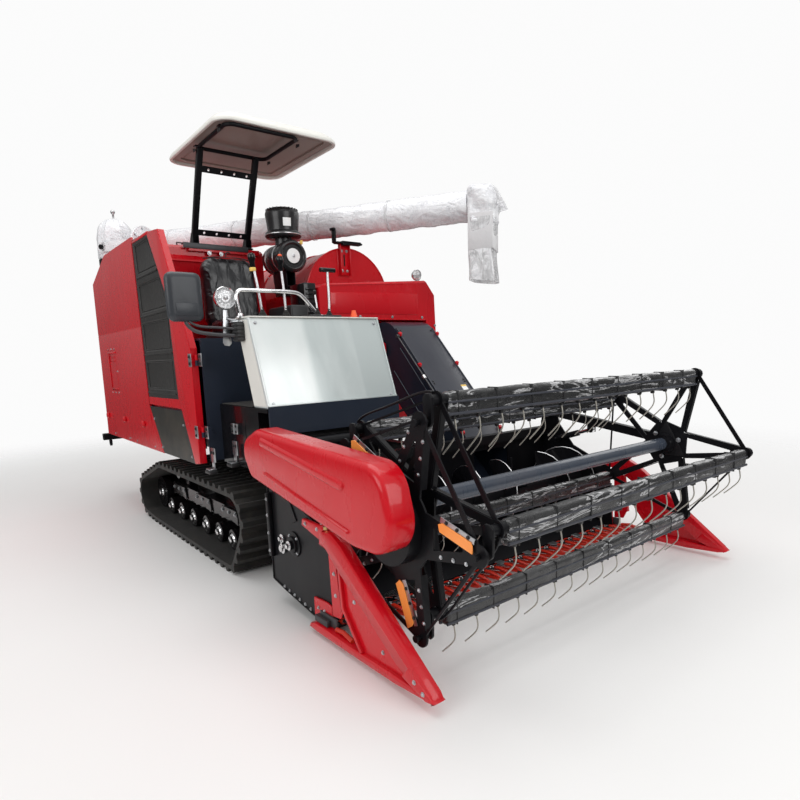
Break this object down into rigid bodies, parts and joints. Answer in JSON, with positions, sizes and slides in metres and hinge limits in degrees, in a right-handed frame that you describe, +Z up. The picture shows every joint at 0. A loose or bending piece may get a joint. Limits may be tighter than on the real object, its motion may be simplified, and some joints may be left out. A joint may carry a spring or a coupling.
{
  "type": "combine harvester",
  "caption": "Compact tracked rice combine with side driver's station, canopy, folded unloading auger and a wide pick-up reel header.",
  "frame": {"origin": "on the ground, under the middle of the tracks' ground contact and midway between the two tracks", "axes": "+X forward, the way the machine drives; +Y to the machine's left; +Z up"},
  "size_m": [4.7057, 2.4625, 2.6839],
  "materials": {
    "red_paint": "gloss",
    "navy_paint": "gloss",
    "black_paint": "satin",
    "cream_paint": "satin",
    "guard_paint": "satin",
    "film_wrap": "cloudy film",
    "track_rubber": "matte",
    "black_plastic": "matte",
    "vinyl": "matte vinyl",
    "bright_steel": "bright",
    "cast_iron": "rough",
    "chrome": "polished",
    "screen": "matte mesh",
    "silver_paint": "metallic"
  },
  "bodies": {
    "chassis": {"track_right": "track_rubber", "track_left": "track_rubber", "running_gear_right": "black_paint", "running_gear_left": "black_paint", "drive_sprockets": "cast_iron", "gearbox": "cast_iron", "chassis_frame": "black_paint", "engine_block": "cast_iron", "radiator": "cast_iron", "thresher_body": "red_paint", "drum_cover": "red_paint", "thresher_hood": "navy_paint", "straw_hood": "red_paint", "grain_tank": "red_paint", "tank_side_panel": "red_paint", "engine_bonnet": "navy_paint", "seat_wall": "red_paint", "platform": "black_paint", "dash_box": "silver_paint", "dash_skirt": "navy_paint", "seat_cushion": "vinyl", "seat_back": "vinyl", "seat_base": "black_paint", "handrail": "chrome", "control_levers": "chrome", "air_cleaner": "black_plastic", "mirror_and_arm": "black_plastic", "headlamp": "chrome", "canopy_posts": "black_paint", "canopy_roof": "cream_paint", "standing_auger": "film_wrap", "boom_cradle": "black_paint"},
    "side_cover": {"cover_strip": "red_paint", "radiator_screen": "screen", "cover_lower_panel": "navy_paint"},
    "unload_turret": {"auger_elbow": "film_wrap"},
    "unload_boom": {"unloading_tube": "film_wrap", "unloading_spout": "film_wrap"},
    "header": {"feeder_house": "red_paint", "header_table": "red_paint", "knife_guards": "guard_paint", "divider_right": "red_paint", "divider_left": "red_paint"},
    "cross_auger": {"cross_auger": "black_paint"},
    "knife": {"knife": "bright_steel"},
    "reel_lift": {"reel_arms": "black_paint", "reel_drive_cover": "red_paint"},
    "reel": {"reel_spiders": "black_paint"},
    "eccentric": {"eccentric_spider": "black_paint"},
    "lift_barrel": {"lift_barrel": "black_paint"},
    "lift_rod": {"lift_rod": "chrome"},
    "reel_barrels": {"reel_barrels": "black_paint"},
    "reel_rods": {"reel_rods": "chrome"},
    "bat_1": {"reel_bat_1": "black_paint"},
    "bat_2": {"reel_bat_2": "black_paint"},
    "bat_3": {"reel_bat_3": "black_paint"},
    "bat_4": {"reel_bat_4": "black_paint"},
    "bat_5": {"reel_bat_5": "black_paint"}
  },
  "joints": [
    {"name": "header_lift", "type": "hinge", "parent": "chassis", "child": "header", "pos_m": [0.45, 0.8, 1.25], "axis": [0, -1, 0], "range_deg": [0, 22]},
    {"name": "lift_barrel_tilt", "type": "hinge", "parent": "chassis", "child": "lift_barrel", "pos_m": [0.59, 0.23, 0.37], "axis": [0, -1, 0], "range_deg": [0, 15.9]},
    {"name": "lift_rod_travel", "type": "slide", "parent": "lift_barrel", "child": "lift_rod", "axis": [0.9633, 0, 0.2685], "range_m": [0, 0.3298]},
    {"name": "auger_spin", "type": "hinge", "parent": "header", "child": "cross_auger", "pos_m": [1.58, 0.27, 0.35], "axis": [0, 1, 0], "continuous": true},
    {"name": "knife_travel", "type": "slide", "parent": "header", "child": "knife", "axis": [0, 1, 0], "range_m": [-0.025, 0.025]},
    {"name": "reel_raise", "type": "hinge", "parent": "header", "child": "reel_lift", "pos_m": [1.412, 0.27, 0.785], "axis": [0, -1, 0], "range_deg": [0, 25]},
    {"name": "reel_barrel_tilt", "type": "hinge", "parent": "header", "child": "reel_barrels", "pos_m": [1.5, 0.27, 0.6], "axis": [0, -1, 0], "range_deg": [0, 23.98]},
    {"name": "reel_rod_travel", "type": "slide", "parent": "reel_barrels", "child": "reel_rods", "axis": [0.9558, 0, 0.2941], "range_m": [0, 0.0885]},
    {"name": "reel_spin", "type": "hinge", "parent": "reel_lift", "child": "reel", "pos_m": [2.305, 0.3, 0.655], "axis": [0, 1, 0], "continuous": true},
    {"name": "eccentric_spin", "type": "hinge", "parent": "reel_lift", "child": "eccentric", "pos_m": [2.305, -0.738, 0.585], "axis": [0, 1, 0], "continuous": true},
    {"name": "side_cover_swing", "type": "hinge", "parent": "chassis", "child": "side_cover", "pos_m": [0.7, -0.86, 1], "axis": [0, 0, 1], "range_deg": [0, 100]},
    {"name": "unload_swing", "type": "hinge", "parent": "chassis", "child": "unload_turret", "pos_m": [-1.8, -0.6, 2.05], "axis": [0, 0, 1], "range_deg": [0, 150]},
    {"name": "unload_lift", "type": "hinge", "parent": "unload_turret", "child": "unload_boom", "pos_m": [-1.8, -0.6, 2.2], "axis": [0.5477, -0.8367, 0], "range_deg": [0, 8]},
    {"name": "bat_1_turn", "type": "hinge", "parent": "reel", "child": "bat_1", "pos_m": [2.71775, 0.3, 0.64059], "axis": [0, 1, 0], "continuous": true},
    {"name": "bat_2_turn", "type": "hinge", "parent": "reel", "child": "bat_2", "pos_m": [2.44625, 0.3, 1.04309], "axis": [0, 1, 0], "continuous": true},
    {"name": "bat_3_turn", "type": "hinge", "parent": "reel", "child": "bat_3", "pos_m": [1.97955, 0.3, 0.90927], "axis": [0, 1, 0], "continuous": true},
    {"name": "bat_4_turn", "type": "hinge", "parent": "reel", "child": "bat_4", "pos_m": [1.96261, 0.3, 0.42405], "axis": [0, 1, 0], "continuous": true},
    {"name": "bat_5_turn", "type": "hinge", "parent": "reel", "child": "bat_5", "pos_m": [2.41884, 0.3, 0.258], "axis": [0, 1, 0], "continuous": true}
  ],
  "couplings": [
    {"joint": "lift_barrel_tilt", "follows": "header_lift", "ratio": 0.7224},
    {"joint": "lift_rod_travel", "follows": "header_lift", "m_per_rad": 0.8587},
    {"joint": "reel_barrel_tilt", "follows": "reel_raise", "ratio": 0.9591},
    {"joint": "reel_rod_travel", "follows": "reel_raise", "m_per_rad": 0.2028},
    {"joint": "eccentric_spin", "follows": "reel_spin", "ratio": 1},
    {"joint": "bat_1_turn", "follows": "reel_spin", "ratio": -1},
    {"joint": "bat_2_turn", "follows": "reel_spin", "ratio": -1},
    {"joint": "bat_3_turn", "follows": "reel_spin", "ratio": -1},
    {"joint": "bat_4_turn", "follows": "reel_spin", "ratio": -1},
    {"joint": "bat_5_turn", "follows": "reel_spin", "ratio": -1}
  ]
}
